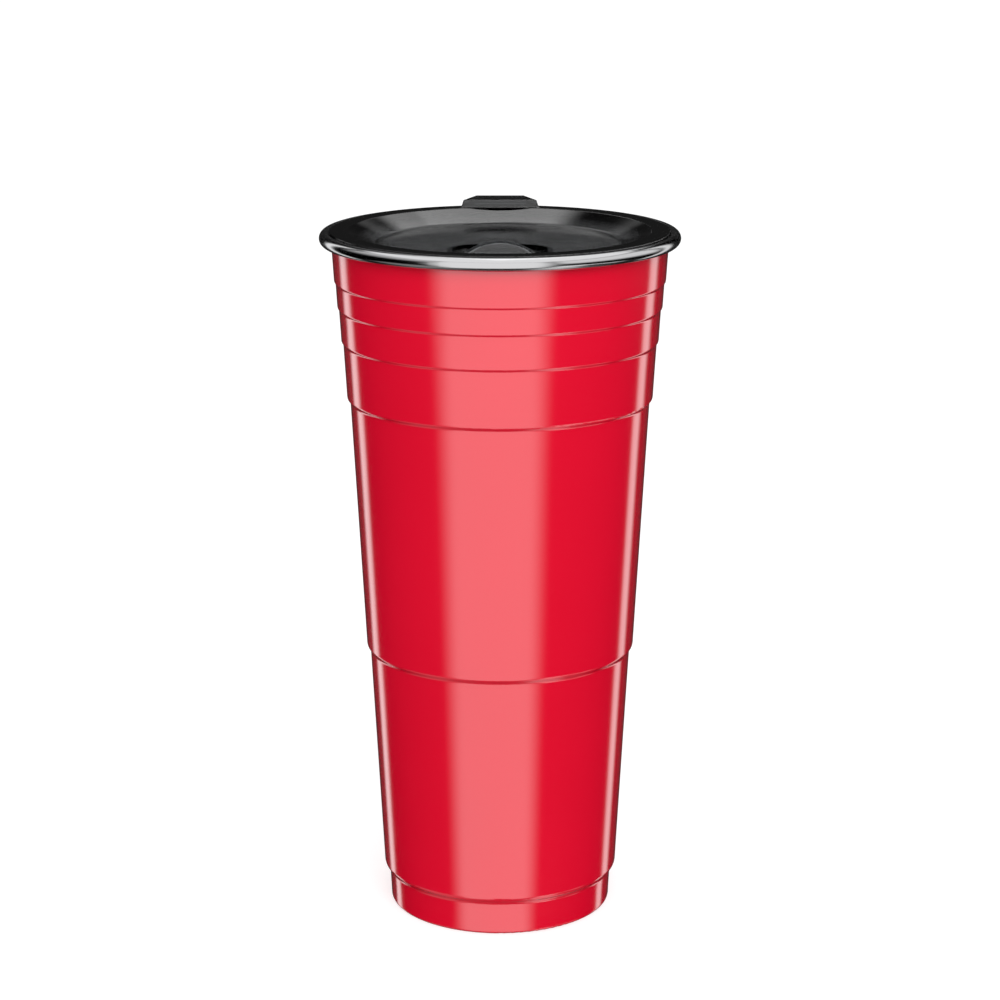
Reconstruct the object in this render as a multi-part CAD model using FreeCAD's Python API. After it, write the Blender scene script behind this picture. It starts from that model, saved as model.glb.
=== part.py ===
import FreeCAD, Part
import math
import os

os.makedirs("parts", exist_ok=True)

# A double-walled steel tumbler in the form of a party cup, with a press-in lid and a sliding closure.
# Millimetres. +Z is up, -Y is the drinking side, and the origin is the centre of the base on the table.

Vector = FreeCAD.Vector
AXIS_FOOT = Vector(0, 0, 0)
UP = Vector(0, 0, 1)

# Steel sheet, and the empty gap between the two walls at its narrowest
sheet = 0.5
gap = 1.6

# Rolled lip
lip_outer_radius = 54.0
bead_radius = 1.95
bead_height = 209.3
curl_end_degrees = -128.0

# Outer shell: radius under the lip, then each step down the body
# (height where it starts, radius above it, radius below it, drop over which it runs in)
shell_top_radius = 50.35
shell_top_height = 207.06
shell_join_rise = 1.22
steps = [
    (196.5, 49.68, 49.23, 0.57),
    (188.6, 48.78, 48.31, 0.61),
    (178.3, 47.74, 47.18, 0.71),
    (160.8, 46.19, 45.27, 0.80),
    (83.2, 41.06, 40.04, 1.10),
    (11.75, 36.22, 34.70, 1.30),
]
step_rounding_share = 0.4
foot_radius = 34.14
foot_edge_rounding = 1.0
foot_ring_width = 2.6

# Inner liner
liner_floor_height = 10.9
liner_corner_rounding = 9.0
liner_foot_radius = 31.0
liner_waist_height = 160.0
liner_waist_rounding = 40.0
shoulder_foot_radius = 47.7
shoulder_foot_height = 206.3
shoulder_rounding = 0.9

# Bottom of the vacuum vessel, its glass seal, the getter and the cap under them
vessel_bottom_height = 5.0
vessel_rim_height = 1.5
dimple_radius = 4.2
dimple_depth = 1.5
pump_hole_radius = 0.9
getter_radius = 5.0
getter_thickness = 1.5
getter_offset = 13.0
cap_height = 1.5
cap_rim_height = 1.5
cap_panel_radius = 24.0
cap_panel_rise = 0.7
weld_gap = 0.02

# Lid: flat ring that laps onto the lip, sloped recess, floor, and the plug that goes down into the cup
lid_edge_gap = 0.23
lid_lap_radius = 50.8
lid_lap_rounding = 0.17
lid_seat_gap = 0.2
lid_ring_height = 211.45
recess_top_radius = 45.15
recess_floor_radius = 36.5
lid_floor_height = 207.7
lid_wall = 1.7
plug_radius = 46.0
plug_inner_radius = 43.6
plug_bottom_height = 197.0
plug_lead_in = 0.7

# Gasket groove round the plug, and the two sealing lips of the gasket
groove_low = 199.4
groove_high = 203.1
groove_depth = 1.0
gasket_lip_reach = 0.85
gasket_lip_thickness = 0.7

# Lifting tab at the back of the lid
tab_front = 45.05
tab_back = 56.5
tab_top_height = 213.8
tab_under_height = 211.5
tab_front_half_width = 12.5
tab_back_half_width = 8.4
tab_draft = 0.8
tab_rounding = 0.55
tab_root_rounding = 1.3
tab_root_depth = 0.3

# Track for the closure in the lid's floor, with the drink hole and the slot for the legs
track_half_width = 14.0
track_front = -38.4
track_back = -4.7
track_floor_height = 205.1
track_wall = 1.6
track_corner_rounding = 8.2
drink_hole_half_width = 9.5
drink_hole_front = -37.2
drink_hole_back = -30.0
drink_hole_rounding = 3.2
slot_half_width = 3.2
slot_end_gap = 0.15
slot_rounding = 0.6

# Sliding closure: plate, arched thumb grip and two snap legs
slider_front = -38.0
slider_back = -13.4
slider_travel = 8.4
slider_half_width = 13.6
slider_corner_rounding = 7.8
slider_lift = 0.1
plate_thickness = 1.4
plate_edge_rounding = 0.35
grip_front = -21.3
grip_back = -16.3
grip_arch_radius = 17.5
grip_top_height = 210.6
grip_rounding = 0.7
grip_lean_degrees = 16.0
leg_front = -26.9
leg_length = 2.2
leg_inner = 0.8
leg_outer = 2.9
hook_outer = 4.4
hook_height = 1.2
leg_bottom_height = 201.6
hook_gap = 0.2


def point(radius, height):
    """A point of a turned outline, in the XZ plane."""
    return Vector(radius, 0, height)


def rounded_path(corners):
    """Lines through the corners (radius, height, rounding), with a tangent arc at each rounded one."""
    edges = []
    places = [point(radius, height) for radius, height, rounding in corners]
    start = places[0]
    for index in range(1, len(corners) - 1):
        rounding = corners[index][2]
        corner = places[index]
        if rounding == 0:
            edges.append(Part.LineSegment(start, corner).toShape())
            start = corner
            continue
        back = (places[index - 1] - corner).normalize()
        ahead = (places[index + 1] - corner).normalize()
        half = back.getAngle(ahead) / 2
        reach = rounding / math.tan(half)
        first = corner + back * reach
        last = corner + ahead * reach
        middle = corner + (back + ahead).normalize() * (rounding / math.sin(half) - rounding)
        if (first - start).Length > 1e-6:
            edges.append(Part.LineSegment(start, first).toShape())
        edges.append(Part.Arc(first, middle, last).toShape())
        start = last
    if (places[-1] - start).Length > 1e-6:
        edges.append(Part.LineSegment(start, places[-1]).toShape())
    return edges


def turned(edges):
    """The solid swept by a closed outline as it turns once round the cup's axis."""
    face = Part.Face(Part.Wire(edges))
    solid = face.revolve(AXIS_FOOT, UP, 360)
    return solid.copy() if solid.Volume > 0 else solid.reversed()


def turned_corners(corners):
    """The turned solid of a closed outline given by its corners; the first one is a sharp corner."""
    return turned(rounded_path(corners + [corners[0]]))


def rounded_slab(half_width, front, back, low, high, rounding):
    """An upright slab with a rectangular plan and rounded upright edges."""
    slab = Part.makeBox(2 * half_width, back - front, high - low, Vector(-half_width, front, low))
    upright = [edge for edge in slab.Edges if abs(edge.tangentAt(edge.FirstParameter).z) > 0.99]
    return slab.makeFillet(rounding, upright)


def export(shape, name):
    """Write one piece to its own STEP file."""
    shape.exportStep("parts/" + name + ".step")


def shell_outline():
    """Corners of the outer shell's section: down the outside over the steps, and up the inside."""
    slope = (shell_top_radius - steps[0][1]) / (shell_top_height - steps[0][0])
    join_radius = shell_top_radius + slope * (shell_join_height - shell_top_height)
    outside = [(join_radius, shell_join_height, 0)]
    inside = [(join_radius - sheet, shell_join_height - sheet, 0)]
    for height, above, below, drop in steps:
        bend = math.tan(math.atan2(above - below, drop) / 2)
        rounding = step_rounding_share * math.hypot(above - below, drop) / bend
        outside.append((above, height, rounding))
        outside.append((below, height - drop, rounding))
        inside.append((above - sheet, height + sheet * bend, 0))
        inside.append((below - sheet, height - drop + sheet * bend, 0))
    outside.append((foot_radius, 0, foot_edge_rounding))
    outside.append((foot_radius - foot_ring_width, 0, 0))
    inside.append((foot_radius - sheet, sheet, 0))
    inside.append((foot_radius - foot_ring_width, sheet, 0))
    return outside + inside[::-1]


def make_inner_liner():
    """One drawn steel cup whose top edge is rolled outwards and down into the lip."""
    straight = sheet * (math.sqrt(2) - 1)
    neck = bead_centre_radius - bead_radius
    shoulder_top = shoulder_foot_height + neck - shoulder_foot_radius
    inside = [
        (0, liner_floor_height, 0),
        (liner_foot_radius, liner_floor_height, liner_corner_rounding),
        (liner_waist_radius, liner_waist_height, liner_waist_rounding),
        (shoulder_foot_radius, shoulder_foot_height, shoulder_rounding),
        (neck, shoulder_top, shoulder_rounding),
        (neck, bead_height, 0),
    ]
    outside = [
        (neck + sheet, bead_height, 0),
        (neck + sheet, shoulder_top - straight, shoulder_rounding / 2),
        (shoulder_foot_radius + sheet, shoulder_foot_height - straight, shoulder_rounding + sheet),
        (liner_waist_radius + sheet, liner_waist_height, liner_waist_rounding),
        (liner_foot_radius + sheet, liner_floor_height - sheet, liner_corner_rounding + sheet),
        (0, liner_floor_height - sheet, 0),
    ]

    def on_bead(radius, degrees):
        angle = math.radians(degrees)
        return point(bead_centre_radius + radius * math.cos(angle), bead_height + radius * math.sin(angle))

    middle_degrees = (180 + curl_end_degrees) / 2
    hollow_radius = bead_radius - sheet
    curl_out = Part.Arc(on_bead(bead_radius, 180), on_bead(bead_radius, middle_degrees),
                        on_bead(bead_radius, curl_end_degrees)).toShape()
    curl_end = Part.LineSegment(on_bead(bead_radius, curl_end_degrees),
                                on_bead(hollow_radius, curl_end_degrees)).toShape()
    curl_back = Part.Arc(on_bead(hollow_radius, curl_end_degrees), on_bead(hollow_radius, middle_degrees),
                         on_bead(hollow_radius, 180)).toShape()
    axis_line = Part.LineSegment(point(0, liner_floor_height - sheet), point(0, liner_floor_height)).toShape()
    return turned(rounded_path(inside) + [curl_out, curl_end, curl_back] + rounded_path(outside) + [axis_line])


def inner_face_radius(height):
    """Radius of the outer shell's inner face near the foot."""
    lowest_step = steps[-1]
    ledge = lowest_step[0] - lowest_step[3]
    taper = (lowest_step[2] - foot_radius) / ledge
    return foot_radius + taper * (height - sheet) - sheet


def make_vessel_bottom():
    """Pressed steel bottom of the outer vessel, with a turned-down rim and the pump-out dimple."""
    rim_low = vessel_bottom_height - vessel_rim_height
    rim = inner_face_radius(rim_low) - weld_gap
    top = vessel_bottom_height + sheet
    low = vessel_bottom_height - dimple_depth
    return turned_corners([
        (pump_hole_radius, low, 0),
        (dimple_radius - sheet, low, 0.4),
        (dimple_radius - sheet, vessel_bottom_height, 0.4),
        (rim - sheet, vessel_bottom_height, 0.6),
        (rim - sheet, rim_low, 0),
        (rim, rim_low, 0),
        (rim, top, 1.2),
        (dimple_radius, top, 0.8),
        (dimple_radius, low + sheet, 0.4),
        (pump_hole_radius, low + sheet, 0),
    ])


def make_seal_bead():
    """Glass solder that closes the pump-out hole, melted into the dimple from above."""
    floor = vessel_bottom_height - dimple_depth + sheet
    return turned_corners([
        (0, floor, 0),
        (2.6, floor, 0),
        (2.2, floor + 0.7, 0.4),
        (0, floor + 0.9, 0),
    ])


def make_getter_pill():
    """Gas-absorbing pill in its steel cup, spot-welded under the liner's floor."""
    top = liner_floor_height - sheet - weld_gap
    pill = turned_corners([
        (0, top - getter_thickness + 0.3, 0),
        (getter_radius - 0.8, top - getter_thickness + 0.3, 0),
        (getter_radius - 0.8, top - getter_thickness, 0),
        (getter_radius, top - getter_thickness, 0.3),
        (getter_radius, top, 0),
        (0, top, 0),
    ])
    pill.translate(Vector(getter_offset, 0, 0))
    return pill


def make_base_cap():
    """Steel cap over the dimple, seen from below inside the foot ring."""
    rim = inner_face_radius(cap_height) - weld_gap
    under = cap_height
    panel = cap_height + cap_panel_rise
    return turned_corners([
        (0, panel, 0),
        (cap_panel_radius - cap_panel_rise, panel, 0.5),
        (cap_panel_radius, under, 0.5),
        (rim, under, 1.0),
        (rim, under + cap_rim_height, 0),
        (rim - sheet, under + cap_rim_height, 0),
        (rim - sheet, under + sheet, 0.4),
        (cap_panel_radius + 0.25, under + sheet, 0.5),
        (cap_panel_radius - cap_panel_rise + 0.25, panel + sheet, 0.5),
        (0, panel + sheet, 0),
    ])


def recess_top():
    """Corners of the lid's upper face from the axis out to the flat ring."""
    return [
        (0, lid_floor_height, 0),
        (recess_floor_radius, lid_floor_height, 4.0),
        (recess_top_radius, lid_ring_height, 0.9),
    ]


def make_tab():
    """Lifting tab: a tapered tongue on the flat ring that reaches over the lip at the back."""
    low_plan = [(tab_front_half_width, tab_front), (tab_back_half_width, tab_back)]
    high_plan = [(half - tab_draft, y) for half, y in low_plan]
    high_plan = [(high_plan[0][0], tab_front + tab_draft / 2), (high_plan[1][0], tab_back - tab_draft / 2)]

    def plan_wire(plan, height):
        (front_half, front), (back_half, back) = plan
        corners = [(-front_half, front), (front_half, front), (back_half, back), (-back_half, back)]
        return Part.makePolygon([Vector(x, y, height) for x, y in corners + corners[:1]])

    root = lid_ring_height - tab_root_depth
    tongue = Part.makeLoft([plan_wire(low_plan, root), plan_wire(high_plan, tab_top_height)], True, True)
    top_edges = [edge for edge in tongue.Edges if edge.CenterOfMass.z > root + 0.2]
    tongue = tongue.makeFillet(tab_rounding, top_edges)
    recess = Part.makeCylinder(recess_top_radius + 0.4, tab_root_depth, Vector(0, 0, root), UP).cut(tongue)
    ring = Part.makeBox(60, 20, tab_root_depth, Vector(-30, 40, root))
    tongue = tongue.fuse(ring)
    root_sides = [edge for edge in tongue.Edges
                  if abs(edge.CenterOfMass.z - lid_ring_height) < 0.01 and 8 < abs(edge.CenterOfMass.x) < 14
                  and edge.Length > 8]
    tongue = tongue.makeFillet(tab_root_rounding, root_sides)
    clear_of_lip = Part.makeBox(60, 30, tab_under_height - root + 1, Vector(-30, 35, root - 1))
    inside_edge = Part.makeCylinder(lid_lap_radius - lid_lap_rounding, 20, Vector(0, 0, root - 1), UP)
    beyond = Part.makeBox(60, 20, 20, Vector(-30, tab_back, root - 1))
    return tongue.cut([clear_of_lip.cut(inside_edge), beyond, recess])


def make_lid():
    """One moulding: ring, recess, floor with its track, plug with its groove, and the lifting tab."""
    seat = shoulder_foot_height - shoulder_foot_radius + lid_seat_gap * math.sqrt(2)
    slope = (lid_ring_height - lid_floor_height) / (recess_top_radius - recess_floor_radius)
    under_floor = lid_floor_height - lid_wall
    under_wall = under_floor + slope * (plug_inner_radius - recess_floor_radius + lid_wall * slope / 2)
    under_ring_radius = plug_radius + 1.35
    body = turned_corners([
        *recess_top(),
        (lid_lap_radius, lid_ring_height, lid_lap_rounding),
        (lid_lap_radius, lid_lap_height, 0.05),
        (lid_edge_radius, lid_neck_height, 0.8),
        (lid_edge_radius, lid_edge_radius + seat, 0.4),
        (under_ring_radius, under_ring_radius + seat, 0.5),
        (plug_radius, under_ring_radius + seat, 0),
        (plug_radius, groove_high, 0),
        (plug_radius - groove_depth, groove_high, 0),
        (plug_radius - groove_depth, groove_low, 0),
        (plug_radius, groove_low, 0),
        (plug_radius, plug_bottom_height + plug_lead_in, 0),
        (plug_radius - plug_lead_in, plug_bottom_height, 0),
        (plug_inner_radius, plug_bottom_height, 0.4),
        (plug_inner_radius, under_wall, 0.8),
        (recess_floor_radius, under_floor, 3.0),
        (0, under_floor, 0),
    ])
    under_face = turned_corners([
        *recess_top(),
        (recess_top_radius + 0.5, lid_ring_height, 0),
        (recess_top_radius + 0.5, plug_bottom_height, 0),
        (0, plug_bottom_height, 0),
    ])
    boss_low = track_floor_height - track_wall
    boss = rounded_slab(track_half_width + track_wall, track_front - track_wall, track_back + track_wall,
                        boss_low, lid_ring_height + 1, track_corner_rounding + track_wall)
    track = rounded_slab(track_half_width, track_front, track_back,
                         track_floor_height, lid_ring_height + 1, track_corner_rounding)
    drink_hole = rounded_slab(drink_hole_half_width, drink_hole_front, drink_hole_back,
                              boss_low - 1, track_floor_height + 1, drink_hole_rounding)
    slot = rounded_slab(slot_half_width, slot_front, slot_back,
                        boss_low - 1, track_floor_height + 1, slot_rounding)
    lid = body.fuse(boss.common(under_face)).cut([track, drink_hole, slot])
    return lid.fuse(make_tab()).removeSplitter()


def make_lid_gasket():
    """Silicone ring in the plug's groove, with two lips that point outwards and up."""
    back = plug_radius - groove_depth + weld_gap
    face = plug_radius
    reach = face + gasket_lip_reach
    rise = gasket_lip_reach * 0.6
    low = groove_low + weld_gap
    high = groove_high - weld_gap
    corners = [(back, low, 0), (face, low, 0)]
    for lip in range(2):
        root = low + 0.25 + lip * (high - low) / 2
        corners.append((face, root, 0))
        corners.append((reach, root + rise, 0.15))
        corners.append((reach, root + rise + gasket_lip_thickness / 2, 0.1))
        corners.append((face, root + gasket_lip_thickness, 0))
    corners.append((face, high, 0))
    corners.append((back, high, 0))
    return turned_corners(corners)


def make_slider():
    """Closure moulded in one piece: plate over the hole, arched thumb grip, and two snap legs."""
    plate_low = track_floor_height + slider_lift
    plate_high = plate_low + plate_thickness
    plate = rounded_slab(slider_half_width, slider_front, slider_back, plate_low, plate_high,
                         slider_corner_rounding)
    rim = [edge for edge in plate.Edges if edge.BoundBox.ZMin > plate_high - 0.01]
    plate = plate.makeFillet(plate_edge_rounding, rim)

    grip_low = plate_high - 0.5
    lean = (grip_top_height - grip_low) * math.tan(math.radians(grip_lean_degrees))
    arch = Part.makeCylinder(grip_arch_radius, 40, Vector(0, -50, grip_top_height - grip_arch_radius),
                             Vector(0, 1, 0))
    side = Part.makePolygon([Vector(-20, y, z) for y, z in (
        (grip_front - lean, grip_low), (grip_back, grip_low), (grip_back, grip_top_height + lean),
        (grip_front, grip_top_height), (grip_front - lean, grip_low))])
    grip = arch.common(Part.Face(side).extrude(Vector(40, 0, 0)))
    crest = [edge for edge in grip.Edges
             if edge.BoundBox.XLength > 5 and edge.BoundBox.ZMax > grip_top_height - 0.1]
    grip = grip.makeFillet(grip_rounding, crest)

    slider = plate.fuse(grip)
    hook_top = track_floor_height - track_wall - hook_gap
    for side in (-1, 1):
        leg_low_x = min(side * leg_inner, side * leg_outer)
        leg = Part.makeBox(leg_outer - leg_inner, leg_length, plate_low + 0.5 - leg_bottom_height,
                           Vector(leg_low_x, leg_front, leg_bottom_height))
        section = Part.makePolygon([
            Vector(side * leg_inner, leg_front, leg_bottom_height),
            Vector(side * leg_outer, leg_front, leg_bottom_height),
            Vector(side * hook_outer, leg_front, hook_top - hook_height / 2),
            Vector(side * hook_outer, leg_front, hook_top),
            Vector(side * leg_inner, leg_front, hook_top),
            Vector(side * leg_inner, leg_front, leg_bottom_height),
        ])
        hook = Part.Face(section).extrude(Vector(0, leg_length, 0))
        slider = slider.fuse([leg, hook])
    return slider.removeSplitter()


# Sizes that follow from the ones above
bead_centre_radius = lip_outer_radius - bead_radius
lid_edge_radius = bead_centre_radius - bead_radius - lid_edge_gap
lid_lap_angle = math.acos((bead_centre_radius - lid_lap_radius) / (bead_radius + lid_edge_gap))
lid_lap_height = bead_height + (bead_radius + lid_edge_gap) * math.sin(lid_lap_angle)
lid_neck_height = bead_height + (bead_radius + lid_edge_gap) * math.tan(lid_lap_angle / 2)
shell_join_height = shell_top_height + shell_join_rise
waist_step = steps[3]
slot_front = leg_front - slot_end_gap
slot_back = leg_front + leg_length + slider_travel + slot_end_gap
liner_waist_radius = waist_step[2] - 2 * sheet - gap

export(turned_corners(shell_outline()), "outer_shell")
export(make_inner_liner(), "inner_liner")
export(make_vessel_bottom(), "vessel_bottom")
export(make_seal_bead(), "seal_bead")
export(make_getter_pill(), "getter_pill")
export(make_base_cap(), "base_cap")
export(make_lid(), "lid")
export(make_lid_gasket(), "lid_gasket")
export(make_slider(), "slider")
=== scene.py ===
"""Dresses the lidded steel tumbler: coatings, steel, smoke plastic, and the studio it is photographed in."""

import logging
import math
from dataclasses import dataclass
from enum import Enum

import bmesh
import bpy
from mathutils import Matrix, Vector

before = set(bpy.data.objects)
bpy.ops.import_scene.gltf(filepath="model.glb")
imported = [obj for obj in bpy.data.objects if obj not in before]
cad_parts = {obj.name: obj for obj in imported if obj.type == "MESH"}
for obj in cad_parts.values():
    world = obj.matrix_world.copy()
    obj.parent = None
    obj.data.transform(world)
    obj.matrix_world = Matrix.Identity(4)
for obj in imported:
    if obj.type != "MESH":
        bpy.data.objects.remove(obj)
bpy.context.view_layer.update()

LOG = logging.getLogger("tumbler")
WHITE = (1.0, 1.0, 1.0, 1.0)
NOISE_EDGE = (0.3, 0.7)

Color = tuple[float, float, float, float]
Range = tuple[float, float, float, float]
Place = tuple[float, float, float]


class Sum(Enum):
    """The sums that Math nodes do here, with Blender's names for them."""

    ADD = "ADD"
    SUBTRACT = "SUBTRACT"
    MULTIPLY = "MULTIPLY"
    DIVIDE = "DIVIDE"
    POWER = "POWER"
    ROOT = "SQRT"
    LARGER = "MAXIMUM"
    BEARING = "ARCTAN2"
    ARCSINE = "ARCSINE"
    DEGREES = "DEGREES"


@dataclass(frozen=True)
class Port:
    """One number that goes into or comes out of a node group, with its first value."""

    name: str
    value: float = 0.0


class Graph:
    """Short words for adding and joining nodes in one node tree."""

    def __init__(self, tree: bpy.types.NodeTree) -> None:
        """Keep the tree that the nodes go into.

        Args:
            tree: the node tree of a material, a world or a group.
        """
        self.tree = tree

    def feed(self, node: bpy.types.Node, inputs: dict) -> None:
        """Fill or link a node's inputs.

        Args:
            node: the node that is fed.
            inputs: input name or number to a plain value or to another node's output socket.
        """
        for key, value in inputs.items():
            if isinstance(value, bpy.types.NodeSocket):
                self.tree.links.new(value, node.inputs[key])
            else:
                node.inputs[key].default_value = value

    def node(self, kind: str, inputs: dict | None = None, **settings: object) -> bpy.types.Node:
        """Add a node, set its properties, and fill or link its inputs.

        Args:
            kind: the node's type, such as "ShaderNodeMath".
            inputs: input name or number to a plain value or to another node's output socket.
            settings: properties of the node itself.

        Returns:
            The new node.
        """
        made = self.tree.nodes.new(kind)
        for name, value in settings.items():
            setattr(made, name, value)
        self.feed(made, inputs or {})
        return made

    def place(self) -> bpy.types.NodeSocket:
        """The shaded point in the object's own coordinates, in metres."""
        return self.node("ShaderNodeTexCoord").outputs["Object"]

    def split(self, vector: bpy.types.NodeSocket) -> bpy.types.NodeOutputs:
        """The three numbers of a vector."""
        return self.node("ShaderNodeSeparateXYZ", {0: vector}).outputs

    def join(self, *numbers: bpy.types.NodeSocket) -> bpy.types.NodeSocket:
        """A vector from one to three numbers; a missing one is 0."""
        return self.node("ShaderNodeCombineXYZ", dict(enumerate(numbers))).outputs[0]

    def math(self, operation: Sum, *values: object) -> bpy.types.NodeSocket:
        """A Math node's result.

        Args:
            operation: the sum.
            values: one or two numbers or sockets.

        Returns:
            The output socket.
        """
        return self.node("ShaderNodeMath", dict(enumerate(values)), operation=operation.value).outputs[0]

    def noise(self, place: bpy.types.NodeSocket, scale: object, detail: float) -> bpy.types.NodeSocket:
        """Smooth noise, from 0 to 1.

        Args:
            place: where it is read.
            scale: how fine it is, as a number or a socket.
            detail: how many finer layers it has.

        Returns:
            The output socket.
        """
        return self.node("ShaderNodeTexNoise", {"Vector": place, "Scale": scale, "Detail": detail}).outputs[0]

    def ramp(self, value: bpy.types.NodeSocket, low: float, high: float,
             start: float = 0.0, end: float = 1.0) -> bpy.types.NodeSocket:
        """A smooth step of a value from one level to another.

        Args:
            value: the socket that is read.
            low: the value at which the step starts.
            high: the value at which it ends.
            start: the result below low.
            end: the result above high.

        Returns:
            The output socket.
        """
        made = self.node("ShaderNodeMapRange", {"Value": value, "From Min": low, "From Max": high,
                                                "To Min": start, "To Max": end},
                         interpolation_type="SMOOTHSTEP")
        return made.outputs["Result"]

    def mix(self, factor: object, first: object, second: object) -> bpy.types.NodeSocket:
        """A colour between two colours.

        Args:
            factor: 0 gives the first colour and 1 the second.
            first: a colour or socket.
            second: a colour or socket.

        Returns:
            The output socket.
        """
        made = self.node("ShaderNodeMix", data_type="RGBA")
        self.feed(made, {0: factor, 6: first, 7: second})
        return made.outputs[2]

    def bump(self, height: bpy.types.NodeSocket, distance: float) -> bpy.types.NodeSocket:
        """A surface normal tilted by a height.

        Args:
            height: the height, about 0 to 1.
            distance: how many metres a height of 1 stands up.

        Returns:
            The output socket.
        """
        made = self.node("ShaderNodeBump", {"Height": height, "Distance": distance, "Strength": 1.0})
        return made.outputs[0]


def node_group(name: str, inputs: list[Port], outputs: list[Port]) -> tuple[Graph, bpy.types.NodeOutputs,
                                                                          bpy.types.Node]:
    """Start a shader node group with named number sockets.

    Args:
        name: the group's name.
        inputs: its inputs.
        outputs: its outputs.

    Returns:
        A graph to build it with, what comes in, and the node that its results are fed to.
    """
    tree = bpy.data.node_groups.new(name, "ShaderNodeTree")
    for side, ports in (("INPUT", inputs), ("OUTPUT", outputs)):
        for port in ports:
            made = tree.interface.new_socket(name=port.name, in_out=side, socket_type="NodeSocketFloat")
            made.default_value = port.value
    graph = Graph(tree)
    return graph, graph.node("NodeGroupInput").outputs, graph.node("NodeGroupOutput")


@dataclass
class Effects:
    """Node groups that several finishes share, each built once."""

    wobble_scale: float = 35.0
    across_scale: float = 300.0
    band_share: float = 0.04
    drift_scale: float = 18.0
    hair_stretch: Place = (900.0, 900.0, 45.0)
    hair_turn: Place = (0.5, 0.3, 0.0)
    hair_edge: tuple[float, float] = (0.66, 0.74)
    mote_scale: float = 420.0
    mote_edge: tuple[float, float] = (0.06, 0.11)

    def __post_init__(self) -> None:
        """Build every group."""
        self.turning_marks = self._turning_marks()
        self.skin = self._skin()
        self.handling = self._handling()

    def _turning_marks(self) -> bpy.types.NodeTree:
        """Fine rings round the cup's axis, as spinning and polishing leave them.

        Returns:
            The group, with Rings (0 to 1) and Bands (slow variation from ring to ring).
        """
        graph, ins, results = node_group("Turning Marks", [Port("Spacing", 0.0002), Port("Wander", 0.3)],
                                         [Port("Rings"), Port("Bands")])
        place = graph.place()
        x, y, z = graph.split(place)
        radius = graph.math(Sum.ROOT, graph.math(Sum.ADD, graph.math(Sum.POWER, x, 2.0),
                                                 graph.math(Sum.POWER, y, 2.0)))
        along = graph.math(Sum.ADD, radius, z)
        across = graph.math(Sum.SUBTRACT, radius, z)
        wobble = graph.noise(place, self.wobble_scale, 2.0)
        shift = graph.math(Sum.MULTIPLY, graph.math(Sum.MULTIPLY, wobble, ins["Spacing"]), ins["Wander"])
        path = graph.math(Sum.DIVIDE, graph.math(Sum.ADD, along, shift), ins["Spacing"])
        spread = graph.join(path, graph.math(Sum.MULTIPLY, across, self.across_scale))
        slow = graph.join(graph.math(Sum.MULTIPLY, path, self.band_share))
        graph.feed(results, {"Rings": graph.noise(spread, 1.0, 3.0), "Bands": graph.noise(slow, 1.0, 1.0)})
        return graph.tree

    def _skin(self) -> bpy.types.NodeTree:
        """The faint unevenness of a sprayed or moulded surface.

        Returns:
            The group, with Height (broad swells and fine grain together) and Drift (very slow change).
        """
        graph, ins, results = node_group(
            "Surface Skin",
            [Port("Swell Size", 0.004), Port("Grain Size", 0.0006), Port("Grain Share", 0.25)],
            [Port("Height"), Port("Drift")])
        place = graph.place()
        swell = graph.noise(place, graph.math(Sum.DIVIDE, 1.0, ins["Swell Size"]), 1.0)
        grain = graph.noise(place, graph.math(Sum.DIVIDE, 1.0, ins["Grain Size"]), 2.0)
        height = graph.math(Sum.ADD, swell, graph.math(Sum.MULTIPLY, grain, ins["Grain Share"]))
        graph.feed(results, {"Height": height, "Drift": graph.noise(place, self.drift_scale, 2.0)})
        return graph.tree

    def _handling(self) -> bpy.types.NodeTree:
        """Hair-fine scuffs and a trace of settled dust, for roughness only.

        Returns:
            The group, with Scuffs and Dust, both 0 where the surface is clean.
        """
        graph, ins, results = node_group("Handling", [Port("Scuffs", 0.5), Port("Dust", 0.5)],
                                         [Port("Scuffs"), Port("Dust")])
        place = graph.place()
        stretch = graph.node("ShaderNodeMapping", {"Vector": place, "Scale": self.hair_stretch,
                                                   "Rotation": self.hair_turn})
        lines = graph.ramp(graph.noise(stretch.outputs[0], 1.0, 3.0), *self.hair_edge)
        motes = graph.node("ShaderNodeTexVoronoi", {"Vector": place, "Scale": self.mote_scale})
        specks = graph.ramp(motes.outputs["Distance"], *self.mote_edge, 1.0, 0.0)
        graph.feed(results, {"Scuffs": graph.math(Sum.MULTIPLY, lines, ins["Scuffs"]),
                             "Dust": graph.math(Sum.MULTIPLY, specks, ins["Dust"])})
        return graph.tree


def blank_material(name: str) -> tuple[bpy.types.Material, Graph]:
    """A material with no nodes.

    Args:
        name: the material's name.

    Returns:
        The material, and a graph to build it with.
    """
    material = bpy.data.materials.new(name)
    material.use_nodes = True
    material.node_tree.nodes.clear()
    return material, Graph(material.node_tree)


def new_material(name: str) -> tuple[bpy.types.Material, Graph, bpy.types.Node, bpy.types.Node]:
    """A material that holds a Principled shader joined to the output.

    Args:
        name: the material's name.

    Returns:
        The material, a graph to build it with, the shader, and the output node.
    """
    material, graph = blank_material(name)
    shader = graph.node("ShaderNodeBsdfPrincipled")
    output = graph.node("ShaderNodeOutputMaterial", {"Surface": shader.outputs[0]})
    return material, graph, shader, output


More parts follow.
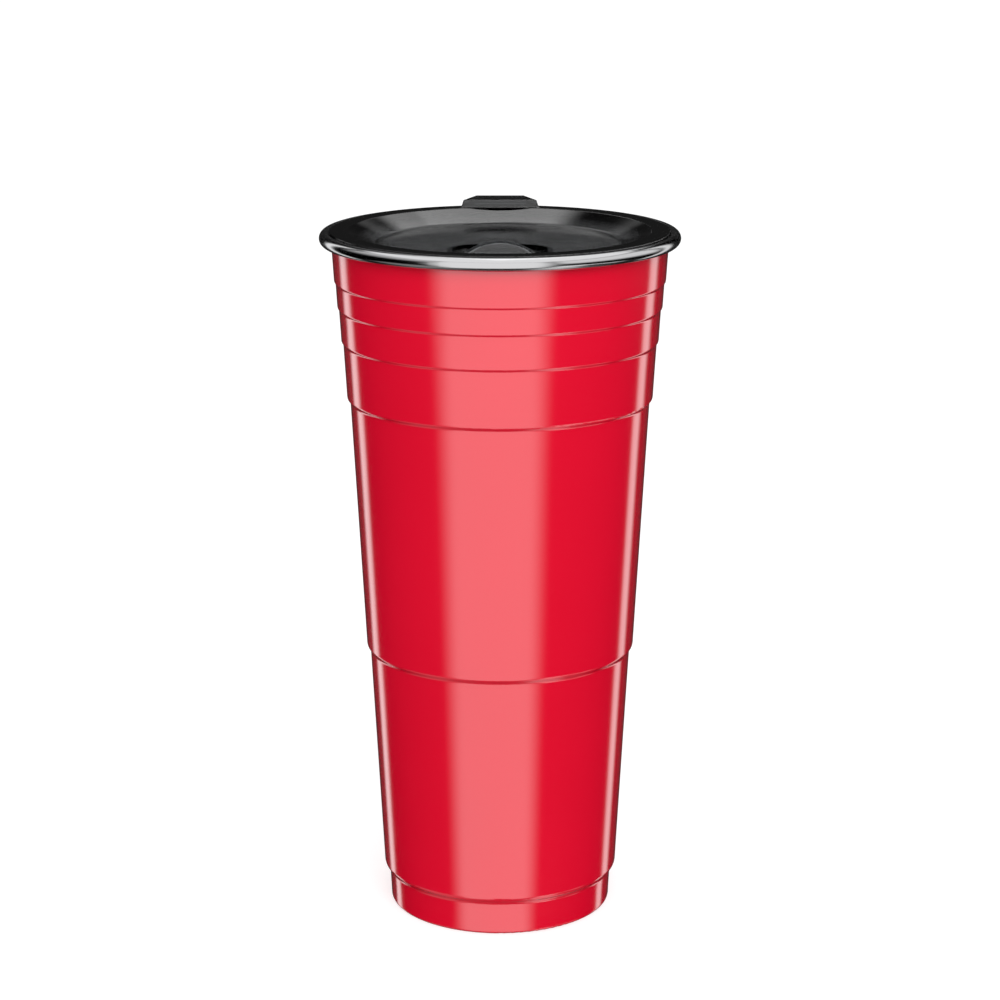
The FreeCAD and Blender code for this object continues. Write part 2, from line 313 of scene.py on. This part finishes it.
@dataclass(frozen=True)
class GlossCoating:
    """Hard gloss coating sprayed on steel, with a slight orange peel."""

    color: Color = (0.73, 0.0014, 0.024, 1.0)
    deep_color: Color = (0.705, 0.0011, 0.022, 1.0)
    roughness: float = 0.15
    scuff_roughness: float = 0.05
    specular_level: float = 0.85
    coat_roughness: float = 0.09
    peel_size: float = 0.0035
    peel_height: float = 0.000004
    grain_size: float = 0.0005
    grain_share: float = 0.12

    def material(self, effects: Effects) -> bpy.types.Material:
        """Build the coating.

        Args:
            effects: the shared node groups.

        Returns:
            The material.
        """
        material, graph, shader, _ = new_material("Gloss Coating")
        skin = graph.node("ShaderNodeGroup", {"Swell Size": self.peel_size, "Grain Size": self.grain_size,
                                              "Grain Share": self.grain_share}, node_tree=effects.skin)
        handling = graph.node("ShaderNodeGroup", node_tree=effects.handling)
        shade = graph.ramp(skin.outputs["Drift"], *NOISE_EDGE)
        scuffs = graph.math(Sum.MULTIPLY, handling.outputs["Scuffs"], self.scuff_roughness)
        graph.feed(shader, {
            "Base Color": graph.mix(shade, self.deep_color, self.color),
            "Roughness": graph.math(Sum.ADD, self.roughness, scuffs),
            "Normal": graph.bump(skin.outputs["Height"], self.peel_height),
            "Specular IOR Level": self.specular_level,
            "Coat Weight": 1.0,
            "Coat Roughness": self.coat_roughness,
        })
        return material


@dataclass(frozen=True)
class TurnedSteel:
    """Stainless steel with rings from turning, smoother where it was polished."""

    name: str
    color: Color = (0.60, 0.60, 0.61, 1.0)
    roughness: float = 0.28
    ring_roughness: float = 0.05
    scuff_roughness: float = 0.04
    dark_band: float = 0.9
    ring_spacing: float = 0.00018
    ring_height: float = 0.0000025
    polished_above: float = 10.0
    polish_fade: float = 0.003
    polished_roughness: float = 0.12
    polished_share: float = 1.0
    polished_ring_share: float = 0.08

    def material(self, effects: Effects) -> bpy.types.Material:
        """Build the steel.

        Args:
            effects: the shared node groups.

        Returns:
            The material.
        """
        material, graph, shader, _ = new_material(self.name)
        marks = graph.node("ShaderNodeGroup", {"Spacing": self.ring_spacing}, node_tree=effects.turning_marks)
        handling = graph.node("ShaderNodeGroup", node_tree=effects.handling)
        height = graph.split(graph.place())[2]
        polish = graph.ramp(height, self.polished_above - self.polish_fade, self.polished_above)
        dull = graph.math(Sum.SUBTRACT, 1.0, polish)
        shade = graph.math(Sum.MULTIPLY, graph.ramp(marks.outputs["Bands"], *NOISE_EDGE, self.dark_band, 1.0),
                           graph.ramp(polish, 0.0, 1.0, 1.0, self.polished_share))
        base = graph.node("ShaderNodeVectorMath", {0: self.color[:3], "Scale": shade}, operation="SCALE")
        rough = graph.math(Sum.ADD, self.polished_roughness,
                           graph.math(Sum.MULTIPLY, dull, self.roughness - self.polished_roughness))
        for mark, share in ((marks.outputs["Rings"], self.ring_roughness),
                            (handling.outputs["Scuffs"], self.scuff_roughness)):
            rough = graph.math(Sum.ADD, rough, graph.math(Sum.MULTIPLY, mark, share))
        rings = graph.math(Sum.MULTIPLY, marks.outputs["Rings"],
                           graph.math(Sum.ADD, dull, self.polished_ring_share))
        graph.feed(shader, {
            "Base Color": base.outputs[0],
            "Roughness": rough,
            "Normal": graph.bump(rings, self.ring_height),
            "Metallic": 1.0,
        })
        return material


@dataclass(frozen=True)
class SmokePlastic:
    """Clear copolyester tinted with smoke: grey where it is thin, and black towards the rim, where it is
    thick and where its tint also paints shade; its tab is tinted lighter as painted light, with a darker top
    face as painted shade.
    """

    name: str
    tint: Color = (0.62, 0.63, 0.64, 1.0)
    density: float = 526.0
    refraction: float = 1.57
    # Painted shade: the rim is tinted near black, standing in for shade there as well as for the thicker
    # moulding
    thick_and_shaded_color: Color = (0.02, 0.02, 0.021, 1.0)
    window_radius: float = 0.036
    shaded_radius: float = 0.0435
    tab_height: float = 0.2116
    tab_fade: float = 0.0006
    # Painted light: the tab is tinted lighter than the rim round it, so it shows brighter
    tab_light_color: Color = (0.36, 0.36, 0.365, 1.0)
    # Painted shade: the tab's top face is tinted darker than its front
    tab_top_height: float = 0.2137
    tab_top_fade: float = 0.0004
    tab_top_shade_color: Color = (0.05, 0.05, 0.051, 1.0)
    roughness: float = 0.09
    scuff_roughness: float = 0.05
    dust_roughness: float = 0.1
    swell_size: float = 0.006
    swell_height: float = 0.000004

    def material(self, effects: Effects) -> bpy.types.Material:
        """Build the plastic.

        Args:
            effects: the shared node groups.

        Returns:
            The material.
        """
        material, graph, shader, output = new_material(self.name)
        skin = graph.node("ShaderNodeGroup", {"Swell Size": self.swell_size, "Grain Share": 0.0},
                          node_tree=effects.skin)
        handling = graph.node("ShaderNodeGroup", node_tree=effects.handling)
        rough = self.roughness
        for mark, share in (("Scuffs", self.scuff_roughness), ("Dust", self.dust_roughness)):
            rough = graph.math(Sum.ADD, rough, graph.math(Sum.MULTIPLY, handling.outputs[mark], share))
        graph.feed(shader, {
            "Base Color": self._base(graph),
            "Roughness": rough,
            "Normal": graph.bump(skin.outputs["Height"], self.swell_height),
            "Transmission Weight": 1.0,
            "IOR": self.refraction,
        })
        absorb = graph.node("ShaderNodeVolumeAbsorption", {"Color": self.tint, "Density": self.density})
        graph.feed(output, {"Volume": absorb.outputs[0]})
        return material

    def _base(self, graph: Graph) -> bpy.types.NodeSocket:
        """Clear in the floor's window, dark towards the rim where the moulding is thick and as painted shade,
        a lighter grey on the tab as painted light, and darker on the tab's top face as painted shade.

        Args:
            graph: the material's graph.

        Returns:
            The colour's output socket.
        """
        x, y, height = graph.split(graph.place())
        reach = graph.node("ShaderNodeVectorMath", {0: graph.join(x, y)}, operation="LENGTH")
        # Painted shade: the tint darkens from the clear window out to the rim, partly for the thicker
        # moulding
        window = graph.ramp(reach.outputs["Value"], self.window_radius, self.shaded_radius, 1.0, 0.0)
        # Painted light: the lighter tint on the tab starts here
        tab = graph.ramp(height, self.tab_height, self.tab_height + self.tab_fade)
        # Painted shade: the darker tint on the tab's top face
        top = graph.ramp(height, self.tab_top_height - self.tab_top_fade, self.tab_top_height)
        base = graph.mix(window, self.thick_and_shaded_color, WHITE)
        base = graph.mix(tab, base, self.tab_light_color)
        return graph.mix(top, base, self.tab_top_shade_color)


@dataclass(frozen=True)
class MattePiece:
    """A dull non-metal: silicone rubber, or fired glass solder."""

    name: str
    color: Color
    light_color: Color
    roughness: float
    grain_size: float
    grain_height: float
    swell_grains: float = 6.0
    grain_share: float = 0.8
    drift_edge: tuple[float, float] = (0.35, 0.65)
    height_roughness: float = 0.08

    def material(self, effects: Effects) -> bpy.types.Material:
        """Build the finish.

        Args:
            effects: the shared node groups.

        Returns:
            The material.
        """
        material, graph, shader, _ = new_material(self.name)
        skin = graph.node("ShaderNodeGroup", {"Swell Size": self.grain_size * self.swell_grains,
                                              "Grain Size": self.grain_size,
                                              "Grain Share": self.grain_share}, node_tree=effects.skin)
        uneven = graph.math(Sum.MULTIPLY, skin.outputs["Height"], self.height_roughness)
        graph.feed(shader, {
            "Base Color": graph.mix(graph.ramp(skin.outputs["Drift"], *self.drift_edge),
                                    self.color, self.light_color),
            "Roughness": graph.math(Sum.ADD, self.roughness, uneven),
            "Normal": graph.bump(skin.outputs["Height"], self.grain_height),
        })
        return material


def dress(group: str, finishes: dict[str, bpy.types.Material]) -> None:
    """Give CAD nodes their materials and smooth their round faces.

    Args:
        group: what the nodes belong to, for the log.
        finishes: each node's name and the finish it gets.
    """
    for node, material in finishes.items():
        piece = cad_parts[node]
        piece.data.materials.clear()
        piece.data.materials.append(material)
        for face in piece.data.polygons:
            face.use_smooth = True
        LOG.info("%s: %s dressed", group, node)


@dataclass
class Cup:
    """The steel cup: coated shell, liner with its rolled lip, and what closes the vacuum."""

    shell: GlossCoating = GlossCoating()
    liner: TurnedSteel = TurnedSteel("Liner Steel", color=(0.68, 0.68, 0.69, 1.0), polished_share=0.78,
                                     polished_above=0.2075)
    cap: TurnedSteel = TurnedSteel("Base Steel", roughness=0.34, ring_height=0.000004)
    bottom: TurnedSteel = TurnedSteel("Mill Steel", color=(0.5, 0.5, 0.5, 1.0), roughness=0.42)
    seal: MattePiece = MattePiece("Glass Solder", (0.05, 0.06, 0.055, 1.0), (0.09, 0.10, 0.09, 1.0),
                                  roughness=0.22, grain_size=0.0003, grain_height=0.00001)
    getter: TurnedSteel = TurnedSteel("Getter Alloy", color=(0.32, 0.32, 0.33, 1.0), roughness=0.6)

    def build(self, effects: Effects) -> None:
        """Dress every piece of the cup.

        Args:
            effects: the shared node groups.
        """
        dress("cup", {
            "outer_shell": self.shell.material(effects),
            "inner_liner": self.liner.material(effects),
            "base_cap": self.cap.material(effects),
            "vessel_bottom": self.bottom.material(effects),
            "seal_bead": self.seal.material(effects),
            "getter_pill": self.getter.material(effects),
        })


@dataclass
class Lid:
    """The press-in lid with its gasket and the sliding closure."""

    moulding: SmokePlastic = SmokePlastic("Smoke Plastic")
    closure: SmokePlastic = SmokePlastic("Closure Plastic")
    gasket: MattePiece = MattePiece("Silicone", (0.035, 0.035, 0.037, 1.0), (0.05, 0.05, 0.052, 1.0),
                                    roughness=0.5, grain_size=0.0004, grain_height=0.000012)

    def build(self, effects: Effects) -> None:
        """Dress every piece of the lid.

        Args:
            effects: the shared node groups.
        """
        dress("lid", {
            "lid": self.moulding.material(effects),
            "slider": self.closure.material(effects),
            "lid_gasket": self.gasket.material(effects),
        })


@dataclass(frozen=True)
class Glow:
    """A soft-edged bright patch on the tent, in degrees; azimuth 0 is the camera's side, + is to the right.

    Each range gives where the patch starts to show, is full, starts to fade and is gone.
    """

    strength: float
    azimuth: Range
    elevation: Range

    def socket(self, graph: Graph, azimuth: bpy.types.NodeSocket,
               elevation: bpy.types.NodeSocket) -> bpy.types.NodeSocket:
        """The patch's brightness for one direction.

        Args:
            graph: the tree that the nodes go into.
            azimuth: the direction's azimuth in degrees.
            elevation: its elevation in degrees.

        Returns:
            The output socket.
        """
        glow = self.strength
        for value, edges in ((azimuth, self.azimuth), (elevation, self.elevation)):
            outer, inner, inner_end, outer_end = edges
            if outer < inner:
                glow = graph.math(Sum.MULTIPLY, glow, graph.ramp(value, outer, inner))
            if inner_end < outer_end:
                glow = graph.math(Sum.MULTIPLY, glow, graph.ramp(value, inner_end, outer_end, 1.0, 0.0))
        return glow


def stage_object(name: str, shape: bmesh.types.BMesh, material: bpy.types.Material) -> bpy.types.Object:
    """Turn a shape into an object with a material.

    Args:
        name: the object's name.
        shape: its mesh under work, which is freed.
        material: its only material.

    Returns:
        The object, linked to the scene.
    """
    mesh = bpy.data.meshes.new(name)
    shape.to_mesh(mesh)
    shape.free()
    mesh.materials.append(material)
    made = bpy.data.objects.new(name, mesh)
    bpy.context.scene.collection.objects.link(made)
    return made


@dataclass
class LightTent:
    """A tent all round, out of shot, that gloss mirrors: black cloth with glowing patches."""

    radius: float = 6.0
    roundness: int = 4
    glows: tuple[Glow, ...] = (
        # The bright top, which starts higher up behind on the left
        Glow(1.42, (-152, -138, 180, 180), (40, 47, 90, 90)),
        Glow(1.42, (-180, -180, -152, -138), (46, 53, 90, 90)),
        # Behind the cup, mirrored by the lid's recess, ring and floor
        Glow(2.10, (156, 163, 180, 180), (41, 47, 90, 90)),
        Glow(2.10, (-180, -180, -168, -161), (44, 51, 90, 90)),
        Glow(1.45, (153, 159, 165, 170), (30, 38, 44, 47)),
        Glow(0.45, (166, 172, 180, 180), (19, 28, 60, 70)),
        Glow(0.45, (-180, -180, -172, -166), (19, 28, 60, 70)),
        Glow(0.022, (150, 165, 180, 180), (-20, -5, 60, 70)),
        Glow(0.022, (-180, -180, -165, -150), (-20, -5, 60, 70)),
        # The broad band down the front, and the top of the lip beside it
        Glow(1.40, (-53, -34, 23, 42), (-58, -46, 40, 47)),
        Glow(1.20, (28, 45, 112, 126), (-14, 10, 36, 47)),
        Glow(0.85, (-126, -112, -48, -36), (6, 40, 40, 47)),
        # Low down, for the streaks on the underside of the lip
        Glow(1.25, (38, 46, 62, 76), (-64, -54, -36, -30)),
        Glow(0.80, (38, 46, 92, 106), (-45, -39, -36, -30)),
        Glow(1.00, (38, 46, 100, 118), (-80, -72, -63, -58)),
        Glow(0.32, (-115, -95, -45, -38), (-75, -60, -39, -33)),
        # The narrow strips down both sides of the body
        Glow(1.42, (-146.0, -138.5, -134.5, -127.5), (-42, -32, 30, 44)),
        Glow(1.28, (121.5, 128.5, 133.0, 141.0), (-42, -32, 30, 44)),
        # Faint light low down behind and all round below
        Glow(0.025, (143, 152, 180, 180), (-90, -90, -8, 0)),
        Glow(0.025, (-180, -180, -152, -143), (-90, -90, -8, 0)),
        Glow(0.14, (-180, -180, -60, -40), (-90, -90, -62, -42)),
        Glow(0.14, (40, 60, 180, 180), (-90, -90, -62, -42)),
        Glow(0.07, (-60, -40, 40, 60), (-90, -90, -62, -42)),
    )

    def build(self) -> None:
        """Make the tent, which shows in reflections only."""
        shape = bmesh.new()
        bmesh.ops.create_icosphere(shape, subdivisions=self.roundness, radius=self.radius)
        tent = stage_object("tent", shape, self._material())
        tent.visible_camera = False
        tent.visible_diffuse = False
        tent.visible_transmission = False
        tent.visible_shadow = False
        tent.visible_volume_scatter = False

    def _material(self) -> bpy.types.Material:
        """The cloth, painted by direction from the cup.

        Returns:
            The material.
        """
        material, graph = blank_material("Tent Cloth")
        ray = graph.node("ShaderNodeVectorMath", {0: graph.place()}, operation="NORMALIZE").outputs[0]
        right, back, up = graph.split(ray)
        around = graph.math(Sum.BEARING, right, graph.math(Sum.MULTIPLY, back, -1.0))
        azimuth = graph.math(Sum.DEGREES, around)
        elevation = graph.math(Sum.DEGREES, graph.math(Sum.ARCSINE, up))
        total = 0.0
        for glow in self.glows:
            total = graph.math(Sum.LARGER, total, glow.socket(graph, azimuth, elevation))
        shine = graph.node("ShaderNodeEmission", {"Strength": total})
        graph.node("ShaderNodeOutputMaterial", {"Surface": shine.outputs[0]})
        material.cycles.emission_sampling = "NONE"
        return material


@dataclass
class Studio:
    """Camera, floor, world and lights."""

    focal_share: float = 2.74
    sensor_width: float = 36.0
    clip_range: tuple[float, float] = (0.01, 200.0)
    camera_distance: float = 0.81186
    camera_height: float = 0.3352
    camera_pitch_degrees: float = 14.31
    floor_size: float = 60.0
    floor_glow: float = 0.52
    floor_color: Color = (0.6, 0.6, 0.6, 1.0)
    fill_light: float = 0.88
    lamp_place: Place = (0.3, -1.88, 1.3)
    lamp_size: tuple[float, float] = (1.4, 1.4)
    lamp_energy: float = 28.0

    def build(self) -> None:
        """Set up everything round the cup."""
        self._camera()
        self._floor()
        self._world()
        self._lamp()
        LightTent().build()
        bpy.context.scene.view_settings.view_transform = "Standard"
        LOG.info("studio ready")

    def _camera(self) -> None:
        """The camera at the photograph's place, looking at the cup and slightly down."""
        data = bpy.data.cameras.new("Camera")
        data.sensor_width = self.sensor_width
        data.lens = self.focal_share * self.sensor_width
        data.clip_start, data.clip_end = self.clip_range
        camera = bpy.data.objects.new("Camera", data)
        bpy.context.scene.collection.objects.link(camera)
        camera.location = (0.0, -self.camera_distance, self.camera_height)
        camera.rotation_euler = (math.radians(90.0 - self.camera_pitch_degrees), 0.0, 0.0)
        bpy.context.scene.camera = camera

    @staticmethod
    def _seen(graph: Graph) -> bpy.types.NodeSocket:
        """1 for rays from the camera, and for mirrored and transmitted ones.

        Args:
            graph: the tree that the nodes go into.

        Returns:
            The output socket.
        """
        path = graph.node("ShaderNodeLightPath")
        seen = graph.math(Sum.LARGER, path.outputs["Is Camera Ray"], path.outputs["Is Glossy Ray"])
        return graph.math(Sum.LARGER, seen, path.outputs["Is Transmission Ray"])

    def _floor(self) -> None:
        """A pale floor that glows to white where it is seen and keeps the cup's shadow."""
        material, graph = blank_material("Studio Floor")
        matte = graph.node("ShaderNodeBsdfDiffuse", {"Color": self.floor_color})
        strength = graph.math(Sum.MULTIPLY, self._seen(graph), self.floor_glow)
        glow = graph.node("ShaderNodeEmission", {"Strength": strength})
        both = graph.node("ShaderNodeAddShader", {0: matte.outputs[0], 1: glow.outputs[0]})
        graph.node("ShaderNodeOutputMaterial", {"Surface": both.outputs[0]})
        shape = bmesh.new()
        bmesh.ops.create_grid(shape, x_segments=1, y_segments=1, size=self.floor_size / 2)
        floor = stage_object("floor", shape, material)
        floor.visible_glossy = False

    def _world(self) -> None:
        """White where it is seen, and a slightly dimmer even fill for everything else."""
        world = bpy.data.worlds.new("Studio World")
        bpy.context.scene.world = world
        world.use_nodes = True
        world.node_tree.nodes.clear()
        graph = Graph(world.node_tree)
        strength = graph.ramp(self._seen(graph), 0.0, 1.0, self.fill_light, 1.0)
        light = graph.node("ShaderNodeBackground", {"Color": WHITE, "Strength": strength})
        graph.node("ShaderNodeOutputWorld", {"Surface": light.outputs[0]})

    def _lamp(self) -> None:
        """One big soft lamp above and behind the camera; gloss does not mirror it."""
        data = bpy.data.lights.new("Key Light", "AREA")
        data.shape = "RECTANGLE"
        data.size, data.size_y = self.lamp_size
        data.energy = self.lamp_energy
        lamp = bpy.data.objects.new("Key Light", data)
        bpy.context.scene.collection.objects.link(lamp)
        lamp.location = self.lamp_place
        lamp.rotation_euler = Vector(self.lamp_place).to_track_quat("Z", "Y").to_euler()
        lamp.visible_glossy = False
        lamp.visible_transmission = False
        lamp.visible_camera = False


def main() -> None:
    """Dress the cup and the lid, and build the studio."""
    logging.basicConfig(level=logging.INFO, format="%(name)s: %(message)s")
    effects = Effects()
    Cup().build(effects)
    Lid().build(effects)
    Studio().build()


if __name__ == "__main__":
    main()
